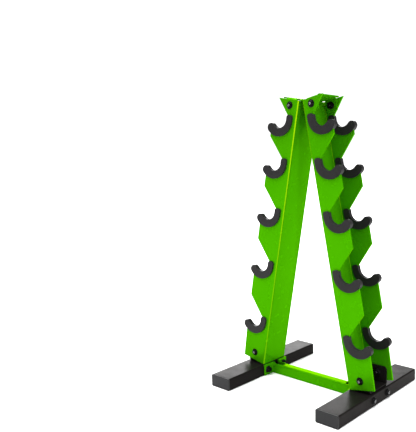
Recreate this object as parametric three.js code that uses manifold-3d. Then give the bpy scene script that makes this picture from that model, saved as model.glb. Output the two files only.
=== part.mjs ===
// Five-tier A-frame dumbbell rack. Two leaning sheet-steel channels with saw-tooth flanges stand on
// black box-section feet, are tied together by a V-bent plate at the top and by a folded bar between
// the feet, and carry a moulded cradle pad in every notch.
//
// Millimetres, +Z up. Origin: on the floor, midway between the feet and midway front to back.
// X runs across the rack, Y runs from front (-) to rear (+). The rack is symmetric about X = 0 and
// about Y = 0, so the left side is the right side turned half a turn about Z.

import * as THREE from "three";
import { mergeVertices } from "three/addons/utils/BufferGeometryUtils.js";
import Module from "manifold-3d";

const wasm = await Module();
wasm.setup();

// ---------------------------------------------------------------- driving dimensions

const GAP = 0.3; // clearance kept between touching pieces

// Feet: 60 x 30 box section.
const FOOT_INNER_X = 131.4;
const FOOT_WIDTH = 60.6;
const FOOT_HEIGHT = 29.6;
const FOOT_LENGTH = 335;
const FOOT_WALL = 2.5;
const FOOT_CORNER = 3;
const FOOT_BORE_CORNER = 1;
const CAP_HEAD = 4;
const CAP_PLUG = 14;
const CAP_WALL = 2;
const CAP_BEVEL = 0.8;

// Uprights: folded channels. In the leaning frame w runs outward and s runs up along the web.
const LEAN = THREE.MathUtils.degToRad(10.97);
const BASE_X = 133;
const BASE_Z = FOOT_HEIGHT + GAP;
const UPRIGHT_LENGTH = 669;
const UPRIGHT_DEPTH = 83.3; // outer face to outer face of the flanges
const WEB_FACE_W = -1; // inner-facing side of the web
const FLANGE_WIDTH = 72;
const BASE_WIDTH = 69.5;
const BASE_TAPER_S = 75; // the flanges widen from the foot up to here
const TOP_WIDTH = 58.7;
const SHEET = 4;
const BEND_INNER = 1;

// Notches, bottom to top: s of the point where a slope meets the cradle pad below it.
const SEATS = [126.5, 277, 411.5, 533, 634];
const SLOPE_FOOT_W = 28; // w of that point; the slopes rise outward at 45 degrees

// Cradle pads: a curved band clipped over the notch edge.
const PAD_CENTRE_W = 47.5;
const PAD_CENTRE_DROP = 12; // below the slope foot
const PAD_INNER_R = 22;
const PAD_OUTER_R = 40.5;
const PAD_OUTER_SHIFT = { w: 2, s: -1.5 }; // outer arc centre from the inner arc centre
const PAD_END_ANGLE = THREE.MathUtils.degToRad(-48); // where the outer arm stops
const PAD_TOP_CORNER = 6;
const PAD_OUTSIDE_LIP = 3.8; // overlap thickness on the outside of the flange
const PAD_INSIDE_LIP = 2.2;
const PAD_BEVEL = 1.4;

// Edge of the sheet under a pad, and the rounded end of the tooth inside its outer arm.
const NOTCH_R = 27.65;
const HORN_CENTRE_R = 31.25;
const HORN_R = HORN_CENTRE_R - NOTCH_R;

// Fasteners: M8 flanged button-head screws and flange nuts.
const SHANK_R = 4;
const HOLE_R = 4.5;
const HEAD_R = 7;
const HEAD_HEIGHT = 4.4;
const HEAD_FLANGE_R = 8.9;
const HEAD_FLANGE_HEIGHT = 1.3;
const SOCKET_R = 2.9;
const SOCKET_DEPTH = 2.6;
const NUT_HEIGHT = 6.8;
const NUT_HEX_R = 7.5;
const NUT_FLANGE_R = 8.75;
const NUT_FLANGE_HEIGHT = 2.2;
const HEAD_RIM = 0.5;
const POINT_CHAMFER = 0.7;
const SHORT_SCREW = 20;
const LONG_SCREW = 72;
const TOP_BOLT = { w: 23.5, s: 655.5 };
const FOOT_BOLT = { x: 162.4, z: 57.4 };
const BAR_BOLT = { y: 30, z: 14.8 };

// V-bent top plate, lying over the cut ends of both uprights between their flanges.
const PLATE_SHEET = 3;
const PLATE_RISE = 0.3; // above the ends of the uprights
const PLATE_END_W = 47.7;
const TAB_W = [8.8, 39.2];
const TAB_BOTTOM_S = 641;
const TAB_BEND_INNER = 2;
const TAB_INSET = 0.1; // the tab's faces lie this far inside the plate's faces
const RELIEF_W = [-2, 42.2]; // the plate's edge is cut back beside each tab
const RELIEF_DEPTH = 7.5;

// Foot brackets: U-bent plates standing on the feet, inside the flanges.
const BRACKET_X = [138.4, 186.4];
const BRACKET_TOP_Z = 72.6;
const BRACKET_SHEET = 4;
const BRACKET_BEND_INNER = 1;
const BRACKET_TRIM = 5; // corner cut off each leg, along the edges

// Crossbar: inverted channel whose walls turn outward into tabs on the feet.
const BAR_HALF_DEPTH = 11;
const BAR_BOTTOM_Z = 1;
const BAR_TOP_Z = 25.5;
const BAR_SHEET = 3;
const BAR_TAB_TOP_Z = 29;
const BAR_TAB_HALF_DEPTH = 42.5;
const BAR_BEND_INNER = 2;
const BAR_ROOF_BEND_INNER = 1;
const BAR_ROOF_END_X = 104;
const BAR_ROOF_RELIEF_R = 7;
const BAR_WALL_FULL_X = 122;

const ARC_COARSE = 3;
const ARC_FINE = 8;
const ROUND_SEGMENTS = 12;
const CLEAR = 20; // how far a cutting block runs past the face it cuts

// ---------------------------------------------------------------- materials

function paint(colour, roughness, metalness) {
  return () => new THREE.MeshStandardMaterial({ color: colour, roughness, metalness, flatShading: true });
}

const greenCoat = paint(0x74cc12, 0.42, 0.0);
const blackCoat = paint(0x2f2d2d, 0.5, 0.0);
const capPlastic = paint(0x3a393b, 0.6, 0.0);
const padPlastic = paint(0x4a484b, 0.7, 0.0);
const blackSteel = paint(0x17161a, 0.3, 0.6);

// ---------------------------------------------------------------- shape helpers

// Points of an arc from angle a to angle b, both ends included.
function arc(cx, cy, radius, a, b, segments) {
  return Array.from({ length: segments + 1 }, (_, i) => {
    const t = a + ((b - a) * i) / segments;
    return [cx + radius * Math.cos(t), cy + radius * Math.sin(t)];
  });
}

function extrude(points, depth, bevel = 0) {
  const shape = new THREE.Shape(points.map(([x, y]) => new THREE.Vector2(x, y)));
  const geometry = new THREE.ExtrudeGeometry(shape, {
    depth: depth - 2 * bevel,
    bevelEnabled: bevel > 0,
    bevelThickness: bevel,
    bevelSize: bevel,
    bevelOffset: -bevel,
    bevelSegments: 1,
  });
  return geometry.translate(0, 0, bevel);
}

const X_AXIS = new THREE.Vector3(1, 0, 0);
const Y_AXIS = new THREE.Vector3(0, 1, 0);
const Z_AXIS = new THREE.Vector3(0, 0, 1);
const ALONG_Y = new THREE.Matrix4().makeBasis(X_AXIS, Z_AXIS, Y_AXIS.clone().negate());
const ALONG_X = new THREE.Matrix4().makeBasis(Y_AXIS, Z_AXIS, X_AXIS);

// Outline in (x, z), swept from y0 to y1.
function extrudeY(points, y0, y1, bevel = 0) {
  return extrude(points, y1 - y0, bevel).applyMatrix4(ALONG_Y).translate(0, y1, 0);
}

// Outline in (y, z), swept from x0 to x1.
function extrudeX(points, x0, x1) {
  return extrude(points, x1 - x0).applyMatrix4(ALONG_X).translate(x0, 0, 0);
}

function box([x0, x1], [y0, y1], [z0, z1]) {
  const geometry = new THREE.BoxGeometry(x1 - x0, y1 - y0, z1 - z0);
  return geometry.translate((x0 + x1) / 2, (y0 + y1) / 2, (z0 + z1) / 2);
}

function rodY(radius, x, z, y0, y1) {
  return new THREE.CylinderGeometry(radius, radius, y1 - y0, ROUND_SEGMENTS).translate(x, (y0 + y1) / 2, z);
}

function rodX(radius, y, z, x0, x1) {
  const geometry = new THREE.CylinderGeometry(radius, radius, x1 - x0, ROUND_SEGMENTS).rotateZ(Math.PI / 2);
  return geometry.translate((x0 + x1) / 2, y, z);
}

// Range of y between two distances from the middle plane, at the front (-1) or the rear (1).
function spanAt(end, near, far) {
  return end < 0 ? [-far, -near] : [near, far];
}

// Outline of a rounded rectangle centred on the origin.
function roundedRectangle(width, height, radius) {
  const x = width / 2 - radius;
  const y = height / 2 - radius;
  const corners = [[x, y], [-x, y], [-x, -y], [x, -y]];
  return corners.flatMap(([cx, cy], i) => {
    return arc(cx, cy, radius, (i * Math.PI) / 2, ((i + 1) * Math.PI) / 2, ARC_COARSE);
  });
}

// Outline of an inverted U: flat on top, bent down at both sides, of the given sheet thickness.
function invertedU(halfWidth, bottom, top, sheet, innerRadius) {
  const outer = innerRadius + sheet;
  const cx = halfWidth - outer;
  const cy = top - outer;
  const outside = [...arc(cx, cy, outer, 0, Math.PI / 2, ARC_COARSE),
    ...arc(-cx, cy, outer, Math.PI / 2, Math.PI, ARC_COARSE)];
  const inside = [...arc(-cx, cy, innerRadius, Math.PI, Math.PI / 2, ARC_COARSE),
    ...arc(cx, cy, innerRadius, Math.PI / 2, 0, ARC_COARSE)];
  const left = -halfWidth;
  return [[halfWidth, bottom], ...outside, [left, bottom], [left + sheet, bottom], ...inside,
    [halfWidth - sheet, bottom]];
}

// ---------------------------------------------------------------- solids

function solid(geometry) {
  const bare = geometry.clone();
  bare.deleteAttribute("normal");
  bare.deleteAttribute("uv");
  const merged = mergeVertices(bare, 1e-4);
  const index = Array.from(merged.index.array);
  const kept = [];
  for (let i = 0; i < index.length; i += 3) {
    const [a, b, c] = index.slice(i, i + 3);
    if (a !== b && b !== c && c !== a) kept.push(a, b, c);
  }
  return new wasm.Manifold(new wasm.Mesh({
    numProp: 3,
    vertProperties: merged.attributes.position.array,
    triVerts: new Uint32Array(kept),
  }));
}

function join(first, ...others) {
  return others.reduce((sum, other) => sum.add(other), first);
}

function cut(first, ...others) {
  return others.reduce((rest, other) => rest.subtract(other), first);
}

function mesh(name, shape, material) {
  const { vertProperties, triVerts } = shape.getMesh();
  const geometry = new THREE.BufferGeometry();
  geometry.setAttribute("position", new THREE.BufferAttribute(new Float32Array(vertProperties), 3));
  geometry.setIndex(new THREE.BufferAttribute(new Uint32Array(triVerts), 1));
  geometry.computeVertexNormals();
  const result = new THREE.Mesh(geometry, material());
  result.name = name;
  return result;
}

// ---------------------------------------------------------------- frames

const LEANING = new THREE.Matrix4().makeRotationY(-LEAN).setPosition(BASE_X, 0, BASE_Z);
const HALF_TURN = new THREE.Matrix4().makeRotationZ(Math.PI);

// World x and z of a point of the leaning frame.
function leaning(w, s) {
  const point = new THREE.Vector3(w, 0, s).applyMatrix4(LEANING);
  return [point.x, point.z];
}

// w and s of a world point in the plane y = 0.
function inLeaning(x, z) {
  const point = new THREE.Vector3(x, 0, z).applyMatrix4(LEANING.clone().invert());
  return { w: point.x, s: point.z };
}

const FOOT_BOLT_LOCAL = inLeaning(FOOT_BOLT.x, FOOT_BOLT.z);
const HALF_DEPTH = UPRIGHT_DEPTH / 2;
const FLANGE_INNER_Y = HALF_DEPTH - SHEET;

// ---------------------------------------------------------------- uprights

// Channel section in (w, y): the web, with both flanges reaching outward past the outline.
function channelSection() {
  const outer = BEND_INNER + SHEET;
  const cx = WEB_FACE_W + outer;
  const cy = HALF_DEPTH - outer;
  const end = FLANGE_WIDTH + CLEAR;
  const half = Math.PI / 2;
  return [
    [end, -HALF_DEPTH],
    [end, -FLANGE_INNER_Y],
    ...arc(cx, -cy, BEND_INNER, -half, -Math.PI, ARC_COARSE),
    ...arc(cx, cy, BEND_INNER, Math.PI, half, ARC_COARSE),
    [end, FLANGE_INNER_Y],
    [end, HALF_DEPTH],
    ...arc(cx, cy, outer, half, Math.PI, ARC_COARSE),
    ...arc(cx, -cy, outer, Math.PI, 3 * half, ARC_COARSE),
  ];
}

// Saw-tooth side outline in (w, s); grow moves the notch edges outward for clearance.
function sawTooth(grow = 0) {
  const back = WEB_FACE_W - CLEAR;
  const points = [[back, 0], [BASE_WIDTH + grow, 0], [FLANGE_WIDTH + grow, BASE_TAPER_S]];
  for (const seat of SEATS) {
    const centre = seat - PAD_CENTRE_DROP;
    const hornW = PAD_CENTRE_W + HORN_CENTRE_R * Math.cos(PAD_END_ANGLE);
    const hornS = centre + HORN_CENTRE_R * Math.sin(PAD_END_ANGLE);
    const notchW = PAD_CENTRE_W - NOTCH_R + grow;
    const slopeOffset = seat - SLOPE_FOOT_W - grow * Math.SQRT2;
    points.push(...arc(hornW, hornS, HORN_R + grow, 0, Math.PI + PAD_END_ANGLE, ARC_COARSE));
    points.push(...arc(PAD_CENTRE_W, centre, NOTCH_R - grow, PAD_END_ANGLE, -Math.PI, ARC_FINE));
    points.push([notchW, notchW + slopeOffset]);
    if (seat !== SEATS.at(-1)) {
      points.push([FLANGE_WIDTH + grow, FLANGE_WIDTH + grow + slopeOffset]);
    }
  }
  points.push([TOP_WIDTH + grow, UPRIGHT_LENGTH], [back, UPRIGHT_LENGTH]);
  return points;
}

function upright() {
  const channel = solid(extrude(channelSection(), UPRIGHT_LENGTH));
  const outline = solid(extrudeY(sawTooth(), -UPRIGHT_DEPTH, UPRIGHT_DEPTH));
  const holes = [TOP_BOLT, FOOT_BOLT_LOCAL].map(({ w, s }) => {
    return solid(rodY(HOLE_R, w, s, -UPRIGHT_DEPTH, UPRIGHT_DEPTH));
  });
  return cut(channel.intersect(outline), ...holes);
}

// ---------------------------------------------------------------- cradle pads

// Band outline in (w, s): up the inner arm, over its rounded top, round the seat, round the outer end.
function padOutline(seat) {
  const innerS = seat - PAD_CENTRE_DROP;
  const outerW = PAD_CENTRE_W + PAD_OUTER_SHIFT.w;
  const outerS = innerS + PAD_OUTER_SHIFT.s;
  const left = outerW - PAD_OUTER_R;
  const right = PAD_CENTRE_W - PAD_INNER_R;
  const topS = seat - PAD_TOP_CORNER;
  const outside = arc(outerW, outerS, PAD_OUTER_R, -Math.PI, PAD_END_ANGLE, ARC_FINE);
  const inside = arc(PAD_CENTRE_W, innerS, PAD_INNER_R, PAD_END_ANGLE, -Math.PI, ARC_FINE);

  const [x0, y0] = outside.at(-1);
  const [x1, y1] = inside[0];
  const endR = Math.hypot(x1 - x0, y1 - y0) / 2;
  const endAngle = Math.atan2(y0 - y1, x0 - x1);
  const end = arc((x0 + x1) / 2, (y0 + y1) / 2, endR, endAngle, endAngle + Math.PI, ARC_COARSE + 1);
  return [
    ...arc(right - PAD_TOP_CORNER, topS, PAD_TOP_CORNER, 0, Math.PI / 2, ARC_COARSE - 1),
    ...arc(left + PAD_TOP_CORNER, topS, PAD_TOP_CORNER, Math.PI / 2, Math.PI, ARC_COARSE - 1),
    ...outside,
    ...end.slice(1, -1),
    ...inside,
  ];
}

// Pad on the front (end = -1) or rear (end = 1) flange; it laps the sheet inside and outside.
function pad(seat, end) {
  const inner = FLANGE_INNER_Y - GAP;
  const outer = HALF_DEPTH + GAP;
  const [y0, y1] = spanAt(end, inner - PAD_INSIDE_LIP, outer + PAD_OUTSIDE_LIP);
  const band = solid(extrudeY(padOutline(seat), y0, y1, PAD_BEVEL));
  const sheet = solid(extrudeY(sawTooth(GAP), ...spanAt(end, inner, outer)));
  return cut(band, sheet);
}

// ---------------------------------------------------------------- fasteners

// Flanged button-head screw along +Z from the point to the underside of the head.
function screw(length) {
  const profile = [
    [0, -length],
    [SHANK_R - POINT_CHAMFER, -length],
    [SHANK_R, POINT_CHAMFER - length],
    [SHANK_R, 0],
    [HEAD_FLANGE_R, 0],
    [HEAD_FLANGE_R, HEAD_RIM],
    [HEAD_R, HEAD_FLANGE_HEIGHT],
    [0.89 * HEAD_R, 0.5 * HEAD_HEIGHT],
    [0.68 * HEAD_R, 0.82 * HEAD_HEIGHT],
    [SOCKET_R + HEAD_RIM, HEAD_HEIGHT],
    [0, HEAD_HEIGHT],
  ];
  const turned = new THREE.LatheGeometry(profile.map(([r, y]) => new THREE.Vector2(r, y)), ROUND_SEGMENTS);
  const socket = new THREE.CylinderGeometry(SOCKET_R, SOCKET_R, 2 * SOCKET_DEPTH, 6);
  return cut(solid(turned), solid(socket.translate(0, HEAD_HEIGHT, 0)));
}

// Flange nut with its bearing face at y = 0 and its free end at y = NUT_HEIGHT.
function nut() {
  const flange = new THREE.CylinderGeometry(NUT_HEX_R - 0.4, NUT_FLANGE_R, NUT_FLANGE_HEIGHT, ROUND_SEGMENTS);
  const hex = new THREE.CylinderGeometry(NUT_HEX_R, NUT_HEX_R, NUT_HEIGHT - 1, 6);
  const bore = new THREE.CylinderGeometry(SHANK_R + GAP, SHANK_R + GAP, 3 * NUT_HEIGHT, ROUND_SEGMENTS);
  const body = join(
    solid(flange.translate(0, NUT_FLANGE_HEIGHT / 2, 0)),
    solid(hex.translate(0, (NUT_HEIGHT + 1) / 2, 0)),
  );
  return cut(body, solid(bore));
}

// ---------------------------------------------------------------- feet, brackets, ties

// Rounded block of the foot's section or smaller, along Y and centred on the section's middle.
function footSection(inset, radius, y0, y1, bevel = 0) {
  const outline = roundedRectangle(FOOT_WIDTH - 2 * inset, FOOT_HEIGHT - 2 * inset, radius);
  return solid(extrudeY(outline, y0, y1, bevel));
}

function foot() {
  const half = FOOT_LENGTH / 2 - CAP_HEAD - GAP;
  const tube = footSection(0, FOOT_CORNER, -half, half);
  const hollow = footSection(FOOT_WALL, FOOT_BORE_CORNER, -FOOT_LENGTH, FOOT_LENGTH);
  const holes = [-BAR_BOLT.y, BAR_BOLT.y].map((y) => {
    return solid(rodX(HOLE_R, y, BAR_BOLT.z - FOOT_HEIGHT / 2, -FOOT_WIDTH, FOOT_WIDTH));
  });
  return cut(tube, hollow, ...holes);
}

// End cap facing -Y: a head flush with the tube, its back at y = 0, and a hollow plug behind it.
function footCap() {
  const plugInset = FOOT_WALL + GAP;
  const head = footSection(0, FOOT_CORNER, -CAP_HEAD, 0, CAP_BEVEL);
  const plug = footSection(plugInset, FOOT_BORE_CORNER, -CAP_HEAD / 2, CAP_PLUG);
  const hollow = footSection(plugInset + CAP_WALL, FOOT_BORE_CORNER, 0, CAP_PLUG + CLEAR);
  return cut(join(head, plug), hollow);
}

// U-bent plate open at the top, standing on the foot inside the flanges.
function footBracket() {
  const [x0, x1] = BRACKET_X;
  const halfWidth = FLANGE_INNER_Y - GAP;
  const bottom = FOOT_HEIGHT + GAP;
  const upsideDown = invertedU(halfWidth, -BRACKET_TOP_Z, -bottom, BRACKET_SHEET, BRACKET_BEND_INNER);
  const profile = upsideDown.map(([y, z]) => [-y, -z]);
  const hole = rodY(HOLE_R, FOOT_BOLT.x, FOOT_BOLT.z, -HALF_DEPTH, HALF_DEPTH);
  const trimSize = BRACKET_TRIM * Math.SQRT2;
  const trims = BRACKET_X.map((x) => {
    const corner = new THREE.BoxGeometry(trimSize, UPRIGHT_DEPTH, trimSize).rotateY(Math.PI / 4);
    return corner.translate(x, 0, BRACKET_TOP_Z);
  });
  return cut(solid(extrudeX(profile, x0, x1)), ...[hole, ...trims].map(solid));
}

// V-bent plate over the uprights, with one tab bent down inside each flange.
function topBracket() {
  const underside = UPRIGHT_LENGTH + PLATE_RISE;
  const top = underside + PLATE_SHEET;
  const halfDepth = FLANGE_INNER_Y - GAP;
  const valley = [underside, top].map((s) => {
    const [x, z] = leaning(0, s);
    return [0, z - x * Math.tan(LEAN)];
  });
  const right = [leaning(PLATE_END_W, underside), leaning(PLATE_END_W, top)];
  const left = right.map(([x, z]) => [-x, z]).reverse();
  const plate = solid(extrudeY([valley[0], ...right, valley[1], ...left], -halfDepth, halfDepth));

  const reliefs = [-1, 1].map((end) => {
    const depth = spanAt(end, halfDepth - RELIEF_DEPTH, halfDepth + CLEAR);
    return box(RELIEF_W, depth, [underside - 1, top + 1]);
  });
  const tabTop = top - TAB_INSET;
  const tabProfile = invertedU(halfDepth, TAB_BOTTOM_S, tabTop, PLATE_SHEET - 2 * TAB_INSET, TAB_BEND_INNER);
  const tabs = extrudeX(tabProfile, ...TAB_W);
  const hole = rodY(HOLE_R, TOP_BOLT.w, TOP_BOLT.s, -HALF_DEPTH, HALF_DEPTH);
  const placements = [LEANING, HALF_TURN.clone().multiply(LEANING)];
  return placements.reduce((body, placement) => {
    const place = (geometry) => solid(geometry.clone().applyMatrix4(placement));
    const notched = cut(body, ...reliefs.map(place));
    return cut(join(notched, place(tabs)), place(hole));
  }, plate);
}

// One wall of the crossbar in plan, with its two outward tabs; front is -1 and rear is +1.
function barWall(front) {
  const tabOuter = FOOT_INNER_X - GAP;
  const bend = BAR_BEND_INNER + BAR_SHEET;
  const cx = tabOuter - bend;
  const cy = BAR_HALF_DEPTH + BAR_BEND_INNER;
  const half = Math.PI / 2;
  const rightEdge = [
    [tabOuter, BAR_TAB_HALF_DEPTH],
    ...arc(cx, cy, bend, 0, -half, ARC_COARSE),
  ];
  const rightFace = [
    ...arc(cx, cy, BAR_BEND_INNER, -half, 0, ARC_COARSE),
    [tabOuter - BAR_SHEET, BAR_TAB_HALF_DEPTH],
  ];
  const mirrorX = (points) => points.map(([x, y]) => [-x, y]).reverse();
  const outline = [...rightEdge, ...mirrorX(rightEdge), ...mirrorX(rightFace), ...rightFace];
  return outline.map(([x, y]) => [front * x, front * y]);
}

function crossbar() {
  const height = BAR_TAB_TOP_Z - BAR_BOTTOM_Z;
  const walls = [-1, 1].map((end) => solid(extrude(barWall(end), height).translate(0, 0, BAR_BOTTOM_Z)));
  const bendBottom = BAR_TOP_Z - BAR_SHEET - BAR_ROOF_BEND_INNER;
  const roofEdge = bendBottom - BAR_SHEET; // the roof section laps the walls down to here
  const section = invertedU(BAR_HALF_DEPTH, roofEdge, BAR_TOP_Z, BAR_SHEET, BAR_ROOF_BEND_INNER);
  const roof = solid(extrudeX(section, -BAR_ROOF_END_X, BAR_ROOF_END_X));

  const sides = [-BAR_HALF_DEPTH - BAR_BEND_INNER, BAR_HALF_DEPTH + BAR_BEND_INNER];
  const above = BAR_TOP_Z + CLEAR;
  const aboveWalls = box([-BAR_WALL_FULL_X, BAR_WALL_FULL_X], sides, [BAR_TOP_Z, above]);
  const roofZone = box([-BAR_ROOF_END_X, BAR_ROOF_END_X], sides, [bendBottom, above]);
  const reliefs = [-1, 1].map((end) => {
    const hole = new THREE.CylinderGeometry(BAR_ROOF_RELIEF_R, BAR_ROOF_RELIEF_R, CLEAR, ROUND_SEGMENTS);
    return solid(hole.rotateX(Math.PI / 2).translate(end * BAR_ROOF_END_X, 0, BAR_TOP_Z));
  });
  const holes = [-BAR_BOLT.y, BAR_BOLT.y].map((y) => {
    return solid(rodX(HOLE_R, y, BAR_BOLT.z, -FOOT_INNER_X, FOOT_INNER_X));
  });
  const trimmedWalls = cut(join(...walls), solid(aboveWalls), solid(roofZone));
  return cut(join(trimmedWalls, cut(roof, ...reliefs)), ...holes);
}

// ---------------------------------------------------------------- assembly

const rack = new THREE.Group();

// Repeated shapes are made once and reused by every copy.
const uprightShape = upright();
const footShape = foot();
const capShape = footCap();
const bracketShape = footBracket();
const shortScrew = screw(SHORT_SCREW);
const longScrew = screw(LONG_SCREW);
const nutShape = nut();

// Screw entering along y at (x, z): head outside the flange, nut against the piece inside it.
function flangeFastener(parent, name, x, z, end, innerFaceY) {
  const head = mesh(`screw_${name}`, shortScrew, blackSteel);
  head.position.set(x, end * (HALF_DEPTH + GAP), z);
  head.rotation.x = end > 0 ? 0 : Math.PI;
  const back = mesh(`nut_${name}`, nutShape, blackSteel);
  back.position.set(x, end * (innerFaceY - GAP), z);
  back.rotation.x = end > 0 ? Math.PI : 0;
  parent.add(head, back);
}

function buildSide(side) {
  const group = new THREE.Group();
  group.rotation.z = side === "right" ? 0 : Math.PI;
  const endName = (end) => ((end < 0) === (side === "right") ? "front" : "rear");
  const footX = FOOT_INNER_X + FOOT_WIDTH / 2;
  const footZ = FOOT_HEIGHT / 2;

  const footMesh = mesh(`foot_${side}`, footShape, blackCoat);
  footMesh.position.set(footX, 0, footZ);
  group.add(footMesh, mesh(`foot_bracket_${side}`, bracketShape, blackCoat));

  const lean = new THREE.Group();
  lean.position.set(BASE_X, 0, BASE_Z);
  lean.rotation.y = -LEAN;
  lean.add(mesh(`upright_${side}`, uprightShape, greenCoat));
  group.add(lean);

  for (const end of [-1, 1]) {
    const where = `${side}_${endName(end)}`;
    const cap = mesh(`foot_cap_${where}`, capShape, capPlastic);
    cap.position.set(footX, end * (FOOT_LENGTH / 2 - CAP_HEAD), footZ);
    cap.rotation.z = end < 0 ? 0 : Math.PI;
    group.add(cap);

    SEATS.forEach((seat, i) => {
      lean.add(mesh(`cradle_pad_${where}_${i + 1}`, pad(seat, end), padPlastic));
    });
    const tabFace = FLANGE_INNER_Y - GAP - PLATE_SHEET;
    const legFace = FLANGE_INNER_Y - GAP - BRACKET_SHEET;
    flangeFastener(lean, `top_${where}`, TOP_BOLT.w, TOP_BOLT.s, end, tabFace);
    flangeFastener(group, `foot_${where}`, FOOT_BOLT.x, FOOT_BOLT.z, end, legFace);

    const barScrew = mesh(`screw_bar_${where}`, longScrew, blackSteel);
    barScrew.position.set(FOOT_INNER_X + FOOT_WIDTH + GAP, end * BAR_BOLT.y, BAR_BOLT.z);
    barScrew.rotation.z = -Math.PI / 2;
    const barNut = mesh(`nut_bar_${where}`, nutShape, blackSteel);
    barNut.position.set(FOOT_INNER_X - BAR_SHEET - 2 * GAP, end * BAR_BOLT.y, BAR_BOLT.z);
    barNut.rotation.z = Math.PI / 2;
    group.add(barScrew, barNut);
  }
  return group;
}

rack.add(buildSide("left"), buildSide("right"));
rack.add(mesh("top_bracket", topBracket(), greenCoat));
rack.add(mesh("crossbar", crossbar(), greenCoat));

export default rack;
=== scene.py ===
"""Looks of the five-tier A-frame dumbbell rack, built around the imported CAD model."""

import math

import bmesh
import bpy
from mathutils import Matrix, Vector


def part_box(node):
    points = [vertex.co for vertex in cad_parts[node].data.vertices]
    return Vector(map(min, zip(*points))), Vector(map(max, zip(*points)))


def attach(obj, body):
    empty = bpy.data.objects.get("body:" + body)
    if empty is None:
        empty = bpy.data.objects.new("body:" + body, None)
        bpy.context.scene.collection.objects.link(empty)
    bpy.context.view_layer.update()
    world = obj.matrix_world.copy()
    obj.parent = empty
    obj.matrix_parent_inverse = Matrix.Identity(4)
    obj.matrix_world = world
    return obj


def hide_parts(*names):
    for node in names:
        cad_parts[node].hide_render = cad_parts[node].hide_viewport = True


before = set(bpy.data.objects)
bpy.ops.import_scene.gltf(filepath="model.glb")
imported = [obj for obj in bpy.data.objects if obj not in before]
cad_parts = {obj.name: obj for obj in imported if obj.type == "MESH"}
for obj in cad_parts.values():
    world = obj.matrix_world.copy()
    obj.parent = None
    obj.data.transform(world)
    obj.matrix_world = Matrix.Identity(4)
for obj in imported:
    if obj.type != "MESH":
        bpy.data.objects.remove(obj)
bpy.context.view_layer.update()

# ---------------------------------------------------------------- dimensions, in millimetres
# Shapes are drawn in millimetres. finished() scales each mesh to metres, and piece() its place.

MM = 0.001
GAP = 0.3
SIDES = ("left", "right")
ENDS = (-1, 1)

foot_low, foot_high = (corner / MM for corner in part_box("foot_right"))
bar_low, bar_high = (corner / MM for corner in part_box("crossbar"))
bracket_low, bracket_high = (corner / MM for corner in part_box("foot_bracket_right"))
cap_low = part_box("foot_cap_right_front")[0] / MM
upright_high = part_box("upright_right")[1] / MM


def middle(node):
    """Centre of a CAD node's box, in millimetres."""
    low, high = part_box(node)
    return (low + high) / 2 / MM


FOOT_WIDTH = foot_high.x - foot_low.x
FOOT_HEIGHT = foot_high.z - foot_low.z
FOOT_HALF_LENGTH = foot_high.y
FOOT_CENTRE_X = (foot_low.x + foot_high.x) / 2
FOOT_WALL = 2.5
FOOT_CORNER = 3
FOOT_BORE_CORNER = 1
FOOT_EDGE = 0.3
CAP_FRONT_Y = cap_low.y
CAP_HEAD = 4
CAP_PLUG = 14
CAP_WALL = 2
CAP_EDGE = 0.9
CAP_EDGE_SEGMENTS = 4

LEAN = math.radians(10.97)
BASE_INSET = 1.6
BASE_X = foot_low.x + BASE_INSET
BASE_Z = foot_high.z + GAP
HALF_DEPTH = upright_high.y
UPRIGHT_LENGTH = 669
WEB_FACE_W = -1
FLANGE_WIDTH = 72
BASE_WIDTH = 69.5
BASE_TAPER_S = 75
TOP_WIDTH = 58.7
SHEET = 4
BEND_INNER = 1
FLANGE_INNER_Y = HALF_DEPTH - SHEET
SEATS = (126.5, 277, 411.5, 533, 634)
SLOPE_FOOT_W = 28
UPRIGHT_EDGE = 0.5

PAD_CENTRE_W = 47.5
PAD_CENTRE_DROP = 12
PAD_INNER_R = 22
PAD_OUTER_R = 40.5
PAD_OUTER_SHIFT = (2, -1.5)
PAD_END_ANGLE = math.radians(-48)
PAD_END_SEGMENTS = 14
PAD_TOP_CORNER = 6
PAD_OUTSIDE_LIP = 3.8
PAD_INSIDE_LIP = 2.2
PAD_SEAT_ROUND = 2.8
PAD_EDGE_ROUND = 1.7
PAD_ROUND_SEGMENTS = 5
PAD_LEAST_EDGE = math.radians(60)  # edges that turn less than this are not rounded
NOTCH_R = 27.65
HORN_CENTRE_R = 31.25
HORN_R = HORN_CENTRE_R - NOTCH_R

SHANK_R = 4
THREAD_R = 3.45
THREAD_PITCH = 1.25
THREAD_LENGTH = 12.5
THREAD_CHAMFER = 0.6
HOLE_R = 4.5
HEAD_R = 7
HEAD_HEIGHT = 4.4
HEAD_FLAT_R = 3.8
HEAD_FLANGE_R = 8.9
HEAD_FLANGE_HEIGHT = 1.3
HEAD_RIM = 0.5
SOCKET_R = 2.9
SOCKET_DEPTH = 2.6
NUT_HEIGHT = 6.8
NUT_HEX_R = 7.5
NUT_HEX_BOTTOM = 1
NUT_FLANGE_R = 8.75
NUT_CROWN_INSET = 1
NUT_CROWN_HEIGHT = 1.6
NUT_FLANGE_HEIGHT = 2.2
NUT_RIM_LOW = 0.3
NUT_RIM_HIGH = 0.9
NUT_RIM_INSET = 0.2
NUT_FLANGE_INSET = 0.6
NUT_BORE_R = SHANK_R + GAP / 2
NUT_COUNTERSINK_START = 0.7
NUT_COUNTERSINK_END = 0.5
NUT_COUNTERSINK_FLARE = 1.2
NUT_EDGE = 0.2
SHORT_SCREW = 20
LONG_SCREW = 72
TOP_BOLT = (23.5, 655.5)

PLATE_SHEET = 3
PLATE_EDGE = 0.4
PLATE_RISE = 0.3
PLATE_END_W = 47.7
TAB_W = (8.8, 39.2)
TAB_BOTTOM_S = 641
TAB_BEND_INNER = 2
TAB_INSET = 0.1
RELIEF_W = (-2, 42.2)
RELIEF_DEPTH = 7.5

BRACKET_SHEET = 4
BRACKET_BEND_INNER = 1
BRACKET_TRIM = 5
BRACKET_EDGE = 0.5

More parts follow.
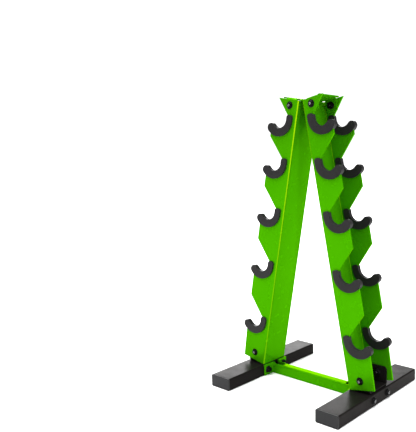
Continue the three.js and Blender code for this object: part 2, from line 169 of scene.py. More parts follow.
BAR_HALF_DEPTH = 11
BAR_BOTTOM_Z = bar_low.z
BAR_TAB_TOP_Z = bar_high.z
BAR_TAB_X = bar_high.x
BAR_TAB_HALF_DEPTH = bar_high.y
BAR_TOP_Z = 25.5
BAR_SHEET = 3
BAR_BEND_INNER = 2
BAR_ROOF_BEND_INNER = 1
BAR_ROOF_END_X = 104
BAR_ROOF_RELIEF_R = 7
BAR_WALL_FULL_X = 122
BAR_EDGE = 0.25

MERGE = 0.01  # points closer than this are one point
POINT_DIGITS = 4
FLAT = math.radians(0.2)  # faces that meet at less than this are one face
BEND_SEGMENTS = 8
ARC_SEGMENTS = 30
ROUND_SEGMENTS = 40
CLEAR = 20  # how far a cutting shape runs past what it cuts
SMALL_CLEAR = 1  # the same, at a fastener or across a sheet
QUARTER = math.pi / 2
NORMAL_WEIGHT = 60

foot_bolt = middle("screw_foot_right_front")
bar_bolt = middle("screw_bar_right_rear")

# ---------------------------------------------------------------- outlines


def arc(cx, cy, radius, start, end, segments=BEND_SEGMENTS):
    """Points of an arc, both ends included."""
    steps = (start + (end - start) * i / segments for i in range(segments + 1))
    return [(cx + radius * math.cos(t), cy + radius * math.sin(t)) for t in steps]


def rounded_rectangle(width, height, radius):
    x, y = width / 2 - radius, height / 2 - radius
    corners = ((x, y), (-x, y), (-x, -y), (x, -y))
    points = []
    for i, (cx, cy) in enumerate(corners):
        points += arc(cx, cy, radius, i * QUARTER, (i + 1) * QUARTER)
    return points


def hexagon(radius):
    return arc(0, 0, radius, 0, 2 * math.pi, 6)[:-1]


def inverted_u(half_width, bottom, top, sheet, inner):
    """Flat on top and bent down at both sides."""
    outer = inner + sheet
    cx, cy = half_width - outer, top - outer
    outside = arc(cx, cy, outer, 0, QUARTER) + arc(-cx, cy, outer, QUARTER, math.pi)
    inside = arc(-cx, cy, inner, math.pi, QUARTER) + arc(cx, cy, inner, QUARTER, 0)
    return [
        (half_width, bottom),
        *outside,
        (-half_width, bottom),
        (sheet - half_width, bottom),
        *inside,
        (half_width - sheet, bottom),
    ]


def channel_section():
    """Section of an upright in (w, y), its flanges running past the outline that trims them."""
    outer = BEND_INNER + SHEET
    cx, cy, end = WEB_FACE_W + outer, HALF_DEPTH - outer, FLANGE_WIDTH + CLEAR
    return [
        (end, -HALF_DEPTH),
        (end, -FLANGE_INNER_Y),
        *arc(cx, -cy, BEND_INNER, -QUARTER, -math.pi),
        *arc(cx, cy, BEND_INNER, math.pi, QUARTER),
        (end, FLANGE_INNER_Y),
        (end, HALF_DEPTH),
        *arc(cx, cy, outer, QUARTER, math.pi),
        *arc(cx, -cy, outer, math.pi, 3 * QUARTER),
    ]


def notch(seat, grow):
    """One notch of a flange in (w, s), from the tooth below the seat to the foot of the slope above it."""
    centre = seat - PAD_CENTRE_DROP
    horn_w = PAD_CENTRE_W + HORN_CENTRE_R * math.cos(PAD_END_ANGLE)
    horn_s = centre + HORN_CENTRE_R * math.sin(PAD_END_ANGLE)
    foot_w = PAD_CENTRE_W - NOTCH_R + grow
    return [
        *arc(horn_w, horn_s, HORN_R + grow, 0, math.pi + PAD_END_ANGLE),
        *arc(PAD_CENTRE_W, centre, NOTCH_R - grow, PAD_END_ANGLE, -math.pi, ARC_SEGMENTS),
        (foot_w, foot_w + slope_offset(seat, grow)),
    ]


def slope_offset(seat, grow):
    """How far the 45 degree slope above a seat lies along the upright, where it would reach w = 0."""
    return seat - SLOPE_FOOT_W - grow * math.sqrt(2)


def saw_tooth():
    """Side outline of an upright in (w, s)."""
    back = WEB_FACE_W - CLEAR
    points = [(back, 0), (BASE_WIDTH, 0), (FLANGE_WIDTH, BASE_TAPER_S)]
    for seat in SEATS:
        points += notch(seat, 0)
        if seat != SEATS[-1]:
            points.append((FLANGE_WIDTH, FLANGE_WIDTH + slope_offset(seat, 0)))
    return points + [(TOP_WIDTH, UPRIGHT_LENGTH), (back, UPRIGHT_LENGTH)]


def sheet_at_seat():
    """The sheet around one seat at s = 0, with clearance, that the pad is slotted over."""
    back, edge = WEB_FACE_W - CLEAR, FLANGE_WIDTH + GAP
    low, high = -4 * CLEAR, edge + slope_offset(0, GAP)
    return [(back, low), (edge, low), *notch(0, GAP), (edge, high), (back, high)]


def pad_outline():
    """Band of a pad in (w, s) for a seat at s = 0, and how many of its last points edge the seat."""
    outer_w, outer_s = PAD_CENTRE_W + PAD_OUTER_SHIFT[0], PAD_OUTER_SHIFT[1] - PAD_CENTRE_DROP
    left, right = outer_w - PAD_OUTER_R, PAD_CENTRE_W - PAD_INNER_R
    outside = arc(outer_w, outer_s, PAD_OUTER_R, -math.pi, PAD_END_ANGLE, ARC_SEGMENTS)
    inside = arc(PAD_CENTRE_W, -PAD_CENTRE_DROP, PAD_INNER_R, PAD_END_ANGLE, -math.pi, ARC_SEGMENTS)
    (x0, y0), (x1, y1) = outside[-1], inside[0]
    angle = math.atan2(y0 - y1, x0 - x1)
    cx, cy, radius = (x0 + x1) / 2, (y0 + y1) / 2, math.hypot(x1 - x0, y1 - y0) / 2
    end = arc(cx, cy, radius, angle, angle + math.pi, PAD_END_SEGMENTS)
    top = -PAD_TOP_CORNER
    points = [
        *arc(right - PAD_TOP_CORNER, top, PAD_TOP_CORNER, 0, QUARTER),
        *arc(left + PAD_TOP_CORNER, top, PAD_TOP_CORNER, QUARTER, math.pi),
        *outside,
        *end[1:-1],
        *inside,
    ]
    return points, len(inside)


# ---------------------------------------------------------------- meshes

PLANES = {
    "xy": lambda a, b, depth: (a, b, depth),
    "xz": lambda a, b, depth: (a, depth, b),
    "yz": lambda a, b, depth: (depth, a, b),
}


def mesh_from(bm):
    """A mesh without double points, with one face for each flat surface and its normals outward."""
    bmesh.ops.remove_doubles(bm, verts=bm.verts, dist=MERGE)
    bmesh.ops.dissolve_degenerate(bm, edges=bm.edges, dist=MERGE)
    bmesh.ops.dissolve_limit(bm, verts=bm.verts, edges=bm.edges, angle_limit=FLAT)
    bmesh.ops.recalc_face_normals(bm, faces=bm.faces)
    mesh = bpy.data.meshes.new("shape")
    bm.to_mesh(mesh)
    bm.free()
    return mesh


def cleaned(mesh):
    bm = bmesh.new()
    bm.from_mesh(mesh)
    return mesh_from(bm)


def prism(outline, low, high, plane):
    """Outline in the named plane, swept from low to high across it."""
    bm = bmesh.new()
    rings = [[bm.verts.new(PLANES[plane](a, b, depth)) for a, b in outline] for depth in (low, high)]
    for ring in rings:
        bm.faces.new(ring)
    for i in range(len(outline)):
        j = (i + 1) % len(outline)
        bm.faces.new((rings[0][i], rings[0][j], rings[1][j], rings[1][i]))
    return mesh_from(bm)


def block(x, y, z):
    return prism([(x[0], y[0]), (x[1], y[0]), (x[1], y[1]), (x[0], y[1])], z[0], z[1], "xy")


def turned(profile):
    """Profile of (radius, z) points that starts and ends on the axis, turned about Z."""
    bm = bmesh.new()
    rings = []
    for radius, z in profile:
        if radius == 0:
            rings.append([bm.verts.new((0, 0, z))] * ROUND_SEGMENTS)
            continue
        angles = (2 * math.pi * i / ROUND_SEGMENTS for i in range(ROUND_SEGMENTS))
        rings.append([bm.verts.new((radius * math.cos(t), radius * math.sin(t), z)) for t in angles])
    for low, high in zip(rings, rings[1:]):
        for i in range(ROUND_SEGMENTS):
            j = (i + 1) % ROUND_SEGMENTS
            corners = []
            for vert in (low[i], low[j], high[j], high[i]):
                if vert not in corners:
                    corners.append(vert)
            bm.faces.new(corners)
    return mesh_from(bm)


def rod(radius, centre, low, high, axis):
    """Cylinder along the named axis; centre gives the two other coordinates in axis order."""
    plane = {"x": "yz", "y": "xz", "z": "xy"}[axis]
    return prism(arc(*centre, radius, 0, 2 * math.pi, ROUND_SEGMENTS)[:-1], low, high, plane)


def moved(mesh, matrix):
    copy = mesh.copy()
    copy.transform(matrix)
    if matrix.is_negative:
        copy.flip_normals()
    return copy


def added(name, data):
    """New object in the scene."""
    obj = bpy.data.objects.new(name, data)
    bpy.context.scene.collection.objects.link(obj)
    return obj


def stand_in(mesh):
    """Temporary object that holds a mesh while its modifiers are applied."""
    return added("stand_in", mesh)


def applied(obj):
    graph = bpy.context.evaluated_depsgraph_get()
    mesh = bpy.data.meshes.new_from_object(obj.evaluated_get(graph))
    bpy.data.objects.remove(obj)
    return mesh


def boolean(operation, base, *tools):
    body = stand_in(base)
    helpers = [stand_in(tool) for tool in tools]
    for helper in helpers:
        modifier = body.modifiers.new("boolean", "BOOLEAN")
        modifier.operation = operation
        modifier.solver = "EXACT"
        modifier.object = helper
    result = applied(body)
    for helper in helpers:
        bpy.data.objects.remove(helper)
    return cleaned(result)


def cut(base, *tools):
    return boolean("DIFFERENCE", base, *tools)


def join(base, *tools):
    return boolean("UNION", base, *tools)


def soften(mesh, width, segments=3, angle=40):
    """Rounds every edge sharper than angle."""
    body = stand_in(mesh)
    modifier = body.modifiers.new("edges", "BEVEL")
    modifier.width = width
    modifier.segments = segments
    modifier.limit_method = "ANGLE"
    modifier.angle_limit = math.radians(angle)
    modifier.use_clamp_overlap = False
    return cleaned(applied(body))


# ---------------------------------------------------------------- placing

SCALE = Matrix.Scale(MM, 4)
HALF_TURN = Matrix.Rotation(math.pi, 4, "Z")
SIDE_TURN = {"right": Matrix.Identity(4), "left": HALF_TURN}
LEANING = Matrix.Translation((BASE_X, 0, BASE_Z)) @ Matrix.Rotation(-LEAN, 4, "Y")


def shift(x, y, z):
    return Matrix.Translation((x, y, z))


def end_name(side, end):
    """front or rear for one end of a side, whose left copy is turned half a turn."""
    return "front" if (end < 0) == (side == "right") else "rear"


def finished(mesh, crease=40):
    """Scaled to metres and smooth except across real edges."""
    mesh.transform(SCALE)
    mesh.shade_smooth()
    mesh.set_sharp_from_angle(angle=math.radians(crease))
    body = stand_in(mesh)
    modifier = body.modifiers.new("normals", "WEIGHTED_NORMAL")
    modifier.keep_sharp = True
    modifier.weight = NORMAL_WEIGHT
    return applied(body)


def piece(node, mesh, place, material):
    """A finished mesh, placed by a matrix in millimetres, that stands for a CAD node."""
    obj = added("look_" + node, mesh)
    obj.matrix_world = SCALE @ place @ SCALE.inverted()
    if not mesh.materials:
        mesh.materials.append(material)
    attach(obj, "root")
    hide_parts(node)


# ---------------------------------------------------------------- materials

PATCH_DETAIL = 4
PATCH_STOPS = (0.32, 0.68)  # noise values where the two patch colours are pure
GLOSS_DETAIL = 3
GLOSS_SCALE = 3.1  # noise scale of the gloss, as a multiple of patch_scale
GLOSS_STOPS = (0.3, 0.7)  # noise values where the roughness reaches its limits
BUMP_DETAIL = 2
BUMP_ROUGHNESS = 0.6
BEND_STOPS = (0.40, 0.85)  # where the painted highlight line starts and is full; 0 is a bend's edge, 1 its middle
BEND_LEAST = 0.35  # strength of the painted highlight low on an upright; it is 1 at the top
SOCKET_MARGIN = 1.02  # on the squared radius, so that the socket's corners are inside the painted glint's mask


def shader(name, roughness, metallic=0.0, **sockets):
    material = bpy.data.materials.new(name)
    material.use_nodes = True
    nodes = material.node_tree.nodes
    principled = nodes["Principled BSDF"]
    principled.inputs["Roughness"].default_value = roughness
    principled.inputs["Metallic"].default_value = metallic
    for socket, value in sockets.items():
        principled.inputs[socket.replace("_", " ")].default_value = value
    return material, nodes, material.node_tree.links, principled


def noise(nodes, links, coordinates, scale, detail, roughness=0.5):
    texture = nodes.new("ShaderNodeTexNoise")
    texture.inputs["Scale"].default_value = scale
    texture.inputs["Detail"].default_value = detail
    texture.inputs["Roughness"].default_value = roughness
    links.new(coordinates, texture.inputs["Vector"])
    return texture.outputs["Fac"]


def ramp(nodes, links, factor, stops):
    """Colour ramp between two (position, colour) stops."""
    node = nodes.new("ShaderNodeValToRGB")
    for element, (position, colour) in zip(node.color_ramp.elements, stops):
        element.position = position
        element.color = (*colour, 1)
    links.new(factor, node.inputs["Fac"])
    return node.outputs["Color"]


def span(nodes, links, factor, low, high):
    """Noise spread over the values from low to high."""
    node = nodes.new("ShaderNodeMapRange")
    node.inputs["From Min"].default_value = GLOSS_STOPS[0]
    node.inputs["From Max"].default_value = GLOSS_STOPS[1]
    node.inputs["To Min"].default_value = low
    node.inputs["To Max"].default_value = high
    links.new(factor, node.inputs["Value"])
    return node.outputs["Result"]


def bump(nodes, links, principled, heights):
    """Chain of bumps from (height, strength, distance in metres)."""
    normal = None
    for height, strength, distance in heights:
        node = nodes.new("ShaderNodeBump")
        node.inputs["Strength"].default_value = strength
        node.inputs["Distance"].default_value = distance
        links.new(height, node.inputs["Height"])
        if normal is not None:
            links.new(normal, node.inputs["Normal"])
        normal = node.outputs["Normal"]
    links.new(normal, principled.inputs["Normal"])


def math_node(nodes, links, operation, first, second=0.0):
    """Math node whose inputs are sockets or numbers."""
    node = nodes.new("ShaderNodeMath")
    node.operation = operation
    for socket, value in zip(node.inputs, (first, second)):
        if isinstance(value, float):
            socket.default_value = value
        else:
            links.new(value, socket)
    return node.outputs["Value"]


def axes(nodes, links, coordinates):
    """X, Y and Z of the coordinates."""
    split = nodes.new("ShaderNodeSeparateXYZ")
    links.new(coordinates, split.inputs["Vector"])
    return split.outputs["X"], split.outputs["Y"], split.outputs["Z"]


def bend_highlight_mask(nodes, links, coordinates):
    """Mask of the painted highlight: strongest along the middle of an upright's two bends and at its top,
    and 0 on its flat faces.
    """
    x, y, z = axes(nodes, links, coordinates)
    radius = BEND_INNER + SHEET
    back = math_node(nodes, links, "SUBTRACT", (WEB_FACE_W + radius) * MM, x)
    depth = math_node(nodes, links, "ABSOLUTE", y)
    side = math_node(nodes, links, "SUBTRACT", depth, (HALF_DEPTH - radius) * MM)
    smaller = math_node(nodes, links, "MINIMUM", back, side)
    larger = math_node(nodes, links, "MAXIMUM", back, side)
    ratio = math_node(nodes, links, "DIVIDE", smaller, larger)
    mask = nodes.new("ShaderNodeMapRange")
    mask.interpolation_type = "SMOOTHSTEP"
    mask.inputs["From Min"].default_value = BEND_STOPS[0]
    mask.inputs["From Max"].default_value = BEND_STOPS[1]
    links.new(ratio, mask.inputs["Value"])
    height = math_node(nodes, links, "DIVIDE", z, UPRIGHT_LENGTH * MM)
    strength = math_node(nodes, links, "MAXIMUM", height, BEND_LEAST)
    return math_node(nodes, links, "MULTIPLY", mask.outputs["Result"], strength)


def socket_glint_mask(nodes, links, coordinates):
    """1 inside a screw's socket, where a glint is painted, and 0 elsewhere."""
    x, y, z = axes(nodes, links, coordinates)
    x_squared = math_node(nodes, links, "MULTIPLY", x, x)
    y_squared = math_node(nodes, links, "MULTIPLY", y, y)
    squared = math_node(nodes, links, "ADD", x_squared, y_squared)
    inside = math_node(nodes, links, "LESS_THAN", squared, (SOCKET_R * MM) ** 2 * SOCKET_MARGIN)
    in_head = math_node(nodes, links, "GREATER_THAN", z, 0.0)
    return math_node(nodes, links, "MULTIPLY", inside, in_head)


def textured(name, dark, light, rough, peel, grain, patch_scale=14, metallic=0.0, painted_highlight=None, **sockets):
    """Surface with faint patches of colour and gloss, an orange-peel wave and a fine grain.

    peel and grain are each a noise scale, a bump strength and a bump height in metres. The optional
    mask function and colour paint a highlight into the base colour where the mask is up.
    """
    material, nodes, links, principled = shader(name, rough[0], metallic, **sockets)
    coordinates = nodes.new("ShaderNodeTexCoord").outputs["Object"]
    patches = noise(nodes, links, coordinates, patch_scale, PATCH_DETAIL)
    colour = ramp(nodes, links, patches, zip(PATCH_STOPS, (dark, light)))
    # painted highlight: the mask mixes a lighter colour into the base colour
    if painted_highlight:
        mask, highlight_colour = painted_highlight
        mix = nodes.new("ShaderNodeMixRGB")
        links.new(mask(nodes, links, coordinates), mix.inputs["Fac"])
        links.new(colour, mix.inputs["Color1"])
        mix.inputs["Color2"].default_value = (*highlight_colour, 1)
        colour = mix.outputs["Color"]
    links.new(colour, principled.inputs["Base Color"])
    gloss = noise(nodes, links, coordinates, GLOSS_SCALE * patch_scale, GLOSS_DETAIL)
    links.new(span(nodes, links, gloss, *rough), principled.inputs["Roughness"])
    heights = []
    for scale, strength, distance in (peel, grain):
        height = noise(nodes, links, coordinates, scale, BUMP_DETAIL, BUMP_ROUGHNESS)
        heights.append((height, strength, distance))
    bump(nodes, links, principled, heights)
    return material


GREEN_COAT = dict(
    dark=(0.052, 0.268, 0.0003),
    light=(0.056, 0.278, 0.0004),
    rough=(0.25, 0.28),
    peel=(420, 0.03, 0.0004),
    grain=(2600, 0.04, 0.00008),
    metallic=0.30,
    Specular_IOR_Level=0.0,
    Specular_Tint=(1.0, 0.95, 0.01, 1),
    Sheen_Weight=0.16,
    Sheen_Roughness=0.35,
    Sheen_Tint=(0.10, 1.0, 0.0, 1),
)
green_coat = textured("green_powder_coat", **GREEN_COAT)
# the uprights' coat with a painted highlight line along their bends, lighter towards the top
highlighted_upright_coat = textured("green_powder_coat_bend_highlight", painted_highlight=(bend_highlight_mask, (0.30, 0.46, 0.004)), **GREEN_COAT)
black_coat = textured(
    "black_powder_coat",
    dark=(0.0092, 0.0080, 0.0078),
    light=(0.0128, 0.0112, 0.0108),
    rough=(0.28, 0.38),
    peel=(500, 0.15, 0.0004),
    grain=(2200, 0.25, 0.00015),
    Specular_IOR_Level=0.05,
    Specular_Tint=(1.0, 0.93, 0.90, 1),
)
cap_plastic = textured(
    "cap_plastic",
    dark=(0.013, 0.013, 0.014),
    light=(0.017, 0.017, 0.0185),
    rough=(0.46, 0.56),
    peel=(300, 0.05, 0.0004),
    grain=(3000, 0.40, 0.00012),
    Specular_IOR_Level=0.30,
)
pad_plastic = textured(
    "pad_plastic",
    dark=(0.019, 0.0185, 0.019),
    light=(0.025, 0.0245, 0.025),
    rough=(0.34, 0.42),
    peel=(260, 0.06, 0.0005),
    grain=(2400, 0.35, 0.00014),
    Specular_IOR_Level=0.14,
)
black_steel = textured(
    "black_oxide_steel",
    dark=(0.004, 0.004, 0.0045),
    light=(0.008, 0.0078, 0.0085),
    rough=(0.16, 0.24),
    peel=(700, 0.08, 0.0002),
    grain=(3500, 0.15, 0.00006),
    patch_scale=60,
    # painted glint: the socket of each screw is coloured light grey
    painted_highlight=(socket_glint_mask, (0.32, 0.32, 0.33)),
    Specular_IOR_Level=0.08,
)

# ---------------------------------------------------------------- uprights

channel = prism(channel_section(), 0, UPRIGHT_LENGTH, "xy")
side_outline = prism(saw_tooth(), -2 * HALF_DEPTH, 2 * HALF_DEPTH, "xz")
foot_bolt_local = LEANING.inverted() @ Vector((foot_bolt.x, 0, foot_bolt.z))
bolt_holes = [
    rod(HOLE_R, (w, s), -2 * HALF_DEPTH, 2 * HALF_DEPTH, "y")
    for w, s in (TOP_BOLT, (foot_bolt_local.x, foot_bolt_local.z))
]
upright_mesh = cut(boolean("INTERSECT", channel, side_outline), *bolt_holes)
upright_mesh = finished(soften(upright_mesh, UPRIGHT_EDGE))

# ---------------------------------------------------------------- cradle pads


def point_key(w, s):
    """The same for a point of an outline and for that point in a mesh."""
    return round(w, POINT_DIGITS), round(s, POINT_DIGITS)


def round_pad(mesh, seat_points):
    """Rounds the seat's edges by one radius and the other edges of the two faces by another."""
    bm = bmesh.new()
    bm.from_mesh(mesh)
    weights = bm.edges.layers.float.new("bevel_weight_edge")
    seat = {point_key(a, b) for a, b in seat_points}
    for edge in bm.edges:
        if edge.is_boundary or edge.calc_face_angle() < PAD_LEAST_EDGE:
            continue
        on_seat = all(point_key(v.co.x, v.co.z) in seat for v in edge.verts)
        edge[weights] = 1.0 if on_seat else PAD_EDGE_ROUND / PAD_SEAT_ROUND
    bm.to_mesh(mesh)
    bm.free()
    body = stand_in(mesh)
    modifier = body.modifiers.new("edges", "BEVEL")
    modifier.width = PAD_SEAT_ROUND
    modifier.segments = PAD_ROUND_SEGMENTS
    modifier.limit_method = "WEIGHT"
    return cleaned(applied(body))


def pad_mesh(end):
    """Pad for the flange at one end; it laps the sheet inside and outside."""
    inner, outer = end * (FLANGE_INNER_Y - GAP), end * (HALF_DEPTH + GAP)
    points, seat_count = pad_outline()
    faces = sorted((inner - end * PAD_INSIDE_LIP, outer + end * PAD_OUTSIDE_LIP))
    band = prism(points, *faces, "xz")
    band = round_pad(band, points[-seat_count:])
    sheet = prism(sheet_at_seat(), *sorted((inner, outer)), "xz")
    return finished(cut(band, sheet))


pad_meshes = {end: pad_mesh(end) for end in ENDS}

# ---------------------------------------------------------------- fasteners


def screw_mesh(length):
    """Flanged button-head screw with its head above z = 0 and its point at z = -length."""
    chamfer = THREAD_CHAMFER
    profile = [(0, -length), (THREAD_R - chamfer, -length), (THREAD_R, chamfer - length)]
    for i in range(int(THREAD_LENGTH / THREAD_PITCH)):
        z = chamfer - length + THREAD_PITCH * (i + 0.5)
        profile += [(SHANK_R, z), (THREAD_R, z + THREAD_PITCH / 2)]
    profile += [(SHANK_R, profile[-1][1] + chamfer), (SHANK_R, 0)]
    profile += arc(HEAD_FLANGE_R - HEAD_RIM / 2, HEAD_RIM / 2, HEAD_RIM / 2, -QUARTER, QUARTER)
    dome_r, dome_height = HEAD_R - HEAD_FLAT_R, HEAD_HEIGHT - HEAD_FLANGE_HEIGHT
    dome = arc(0, 0, 1, 0, QUARTER)
    profile += [(HEAD_FLAT_R + dome_r * a, HEAD_FLANGE_HEIGHT + dome_height * b) for a, b in dome]
    profile += [(0, HEAD_HEIGHT)]
    socket = prism(hexagon(SOCKET_R), HEAD_HEIGHT - SOCKET_DEPTH, HEAD_HEIGHT + SMALL_CLEAR, "xy")
    return finished(cut(turned(profile), socket))


def nut_mesh():
    """Flange nut with its bearing face at z = 0."""
    sides = prism(hexagon(NUT_HEX_R), NUT_HEX_BOTTOM, NUT_HEIGHT, "xy")
    outside, inside = NUT_HEX_R + NUT_CROWN_INSET, NUT_HEX_R - NUT_CROWN_INSET
    crown = turned([
        (0, -SMALL_CLEAR),
        (outside, -SMALL_CLEAR),
        (outside, NUT_HEIGHT - NUT_CROWN_HEIGHT),
        (inside, NUT_HEIGHT),
        (0, NUT_HEIGHT),
    ])
    flange = turned([
        (0, 0),
        (NUT_FLANGE_R - NUT_RIM_INSET, 0),
        (NUT_FLANGE_R, NUT_RIM_LOW),
        (NUT_FLANGE_R, NUT_RIM_HIGH),
        (NUT_HEX_R - NUT_FLANGE_INSET, NUT_FLANGE_HEIGHT),
        (0, NUT_FLANGE_HEIGHT),
    ])
    mouth = NUT_HEIGHT + NUT_COUNTERSINK_END
    bore = turned([
        (0, -SMALL_CLEAR),
        (NUT_BORE_R, -SMALL_CLEAR),
        (NUT_BORE_R, NUT_HEIGHT - NUT_COUNTERSINK_START),
        (NUT_BORE_R + NUT_COUNTERSINK_FLARE, mouth),
        (0, mouth),
    ])
    body = join(boolean("INTERSECT", sides, crown), flange)
    return finished(soften(cut(body, bore), NUT_EDGE, segments=2, angle=50), crease=30)


short_screw = screw_mesh(SHORT_SCREW)
long_screw = screw_mesh(LONG_SCREW)
nut = nut_mesh()

# ---------------------------------------------------------------- feet and brackets


def foot_section(inset, radius, low, high):
    outline = rounded_rectangle(FOOT_WIDTH - 2 * inset, FOOT_HEIGHT - 2 * inset, radius)
    return prism(outline, low, high, "xz")


def foot_mesh():
    tube = foot_section(0, FOOT_CORNER, -FOOT_HALF_LENGTH, FOOT_HALF_LENGTH)
    hollow = foot_section(FOOT_WALL, FOOT_BORE_CORNER, -2 * FOOT_HALF_LENGTH, 2 * FOOT_HALF_LENGTH)
    bolt_z = bar_bolt.z - FOOT_HEIGHT / 2
    holes = [rod(HOLE_R, (end * bar_bolt.y, bolt_z), -FOOT_WIDTH, FOOT_WIDTH, "x") for end in ENDS]
    return finished(soften(cut(tube, hollow, *holes), FOOT_EDGE))


def cap_mesh():
    """End cap facing -Y, its head's back at y = 0."""
    inset = FOOT_WALL + GAP
    head = soften(foot_section(0, FOOT_CORNER, -CAP_HEAD, 0), CAP_EDGE, CAP_EDGE_SEGMENTS)
    plug = foot_section(inset, FOOT_BORE_CORNER, -CAP_HEAD / 2, CAP_PLUG)
    hollow = foot_section(inset + CAP_WALL, FOOT_BORE_CORNER, 0, CAP_PLUG + CLEAR)
    return finished(cut(join(head, plug), hollow))


def foot_bracket_mesh():
    """U-bent plate open at the top, where it stands on the right foot."""
    half_width = bracket_high.y
    outline = inverted_u(half_width, -bracket_high.z, -bracket_low.z, BRACKET_SHEET, BRACKET_BEND_INNER)
    plate = prism([(-y, -z) for y, z in outline], bracket_low.x, bracket_high.x, "yz")
    hole = rod(HOLE_R, (foot_bolt.x, foot_bolt.z), -HALF_DEPTH, HALF_DEPTH, "y")
    trim, z = BRACKET_TRIM, bracket_high.z
    trims = []
    for x in (bracket_low.x, bracket_high.x):
        corner = [(x - trim, z), (x, z - trim), (x + trim, z), (x, z + trim)]
        trims.append(prism(corner, -HALF_DEPTH, HALF_DEPTH, "xz"))
    return finished(soften(cut(plate, hole, *trims), BRACKET_EDGE))


def leaning(w, s):
    point = LEANING @ Vector((w, 0, s))
    return point.x, point.z


def top_bracket_mesh():
    """V-bent plate with one tab bent down inside each flange."""
    underside = UPRIGHT_LENGTH + PLATE_RISE
    top = underside + PLATE_SHEET
    half_depth = FLANGE_INNER_Y - GAP
    valley = []
    for s in (underside, top):
        x, z = leaning(0, s)
        valley.append((0, z - x * math.tan(LEAN)))
    right = [leaning(PLATE_END_W, underside), leaning(PLATE_END_W, top)]
    left = [(-x, z) for x, z in reversed(right)]
    plate = prism([valley[0], *right, valley[1], *left], -half_depth, half_depth, "xz")
    tab_sheet = PLATE_SHEET - 2 * TAB_INSET
    tab_outline = inverted_u(half_depth, TAB_BOTTOM_S, top - TAB_INSET, tab_sheet, TAB_BEND_INNER)
    tabs = prism(tab_outline, *TAB_W, "yz")
    near, far = half_depth - RELIEF_DEPTH, half_depth + CLEAR
    through = (underside - SMALL_CLEAR, top + SMALL_CLEAR)
    reliefs = [block(RELIEF_W, span_y, through) for span_y in ((-far, -near), (near, far))]
    hole = rod(HOLE_R, TOP_BOLT, -HALF_DEPTH, HALF_DEPTH, "y")
    for turn in SIDE_TURN.values():
        place = turn @ LEANING
        plate = cut(plate, *(moved(relief, place) for relief in reliefs))
        plate = cut(join(plate, moved(tabs, place)), moved(hole, place))
    return finished(soften(plate, PLATE_EDGE))


def bar_wall(front):
    """One wall of the crossbar in plan, with its two outward tabs."""
    bend = BAR_BEND_INNER + BAR_SHEET
    cx, cy = BAR_TAB_X - bend, BAR_HALF_DEPTH + BAR_BEND_INNER
    outside = [(BAR_TAB_X, BAR_TAB_HALF_DEPTH), *arc(cx, cy, bend, 0, -QUARTER)]
    inside = [*arc(cx, cy, BAR_BEND_INNER, -QUARTER, 0), (BAR_TAB_X - BAR_SHEET, BAR_TAB_HALF_DEPTH)]
    mirrored = [[(-x, y) for x, y in reversed(points)] for points in (outside, inside)]
    return [(front * x, front * y) for x, y in outside + mirrored[0] + mirrored[1] + inside]


def crossbar_mesh():
    walls = [prism(bar_wall(end), BAR_BOTTOM_Z, BAR_TAB_TOP_Z, "xy") for end in ENDS]
    bend_bottom = BAR_TOP_Z - BAR_SHEET - BAR_ROOF_BEND_INNER
    section = inverted_u(BAR_HALF_DEPTH, bend_bottom, BAR_TOP_Z, BAR_SHEET, BAR_ROOF_BEND_INNER)
    roof = prism(section, -BAR_ROOF_END_X, BAR_ROOF_END_X, "yz")
    reliefs = [
        rod(BAR_ROOF_RELIEF_R, (end * BAR_ROOF_END_X, 0), BAR_TOP_Z - BAR_HALF_DEPTH, BAR_TOP_Z + CLEAR, "z")
        for end in ENDS
    ]
    reach = BAR_HALF_DEPTH + BAR_BEND_INNER
    above = BAR_TOP_Z + CLEAR
    above_walls = block((-BAR_WALL_FULL_X, BAR_WALL_FULL_X), (-reach, reach), (BAR_TOP_Z, above))
    roof_zone = block((-BAR_ROOF_END_X, BAR_ROOF_END_X), (-reach, reach), (bend_bottom, above))
    holes = [rod(HOLE_R, (end * bar_bolt.y, bar_bolt.z), -foot_low.x, foot_low.x, "x") for end in ENDS]
    walls = cut(join(*walls), above_walls, roof_zone)
    return finished(soften(cut(join(walls, cut(roof, *reliefs)), *holes), BAR_EDGE, angle=70))


# ---------------------------------------------------------------- assembly

foot_shape = foot_mesh()
cap_shape = cap_mesh()
bracket_shape = foot_bracket_mesh()
TO_Y = {end: Matrix.Rotation(-end * QUARTER, 4, "X") for end in ENDS}
TO_X = {end: Matrix.Rotation(end * QUARTER, 4, "Y") for end in ENDS}
SPIN_START, SPIN_STEP = 17, 37  # degrees
NUT_STEPS, FOOT_STEPS, BAR_SCREW_STEPS, BAR_NUT_STEPS = 4, 5, 9, 2  # added to tell the joints apart


def spin(step):
    """Turn of a fastener about its own axis, so that neighbours differ."""
    return Matrix.Rotation(math.radians(SPIN_START + SPIN_STEP * step), 4, "Z")


def flange_fastener(where, joint, place, x, z, end, inner_y, step):
    """Screw through a flange with its head outside, and the nut inside it."""
    head = place @ shift(x, end * (HALF_DEPTH + GAP), z) @ TO_Y[end] @ spin(step)
    piece(f"screw_{joint}_{where}", short_screw, head, black_steel)
    back = place @ shift(x, end * (inner_y - GAP), z) @ TO_Y[-end] @ spin(step + NUT_STEPS)
    piece(f"nut_{joint}_{where}", nut, back, black_steel)


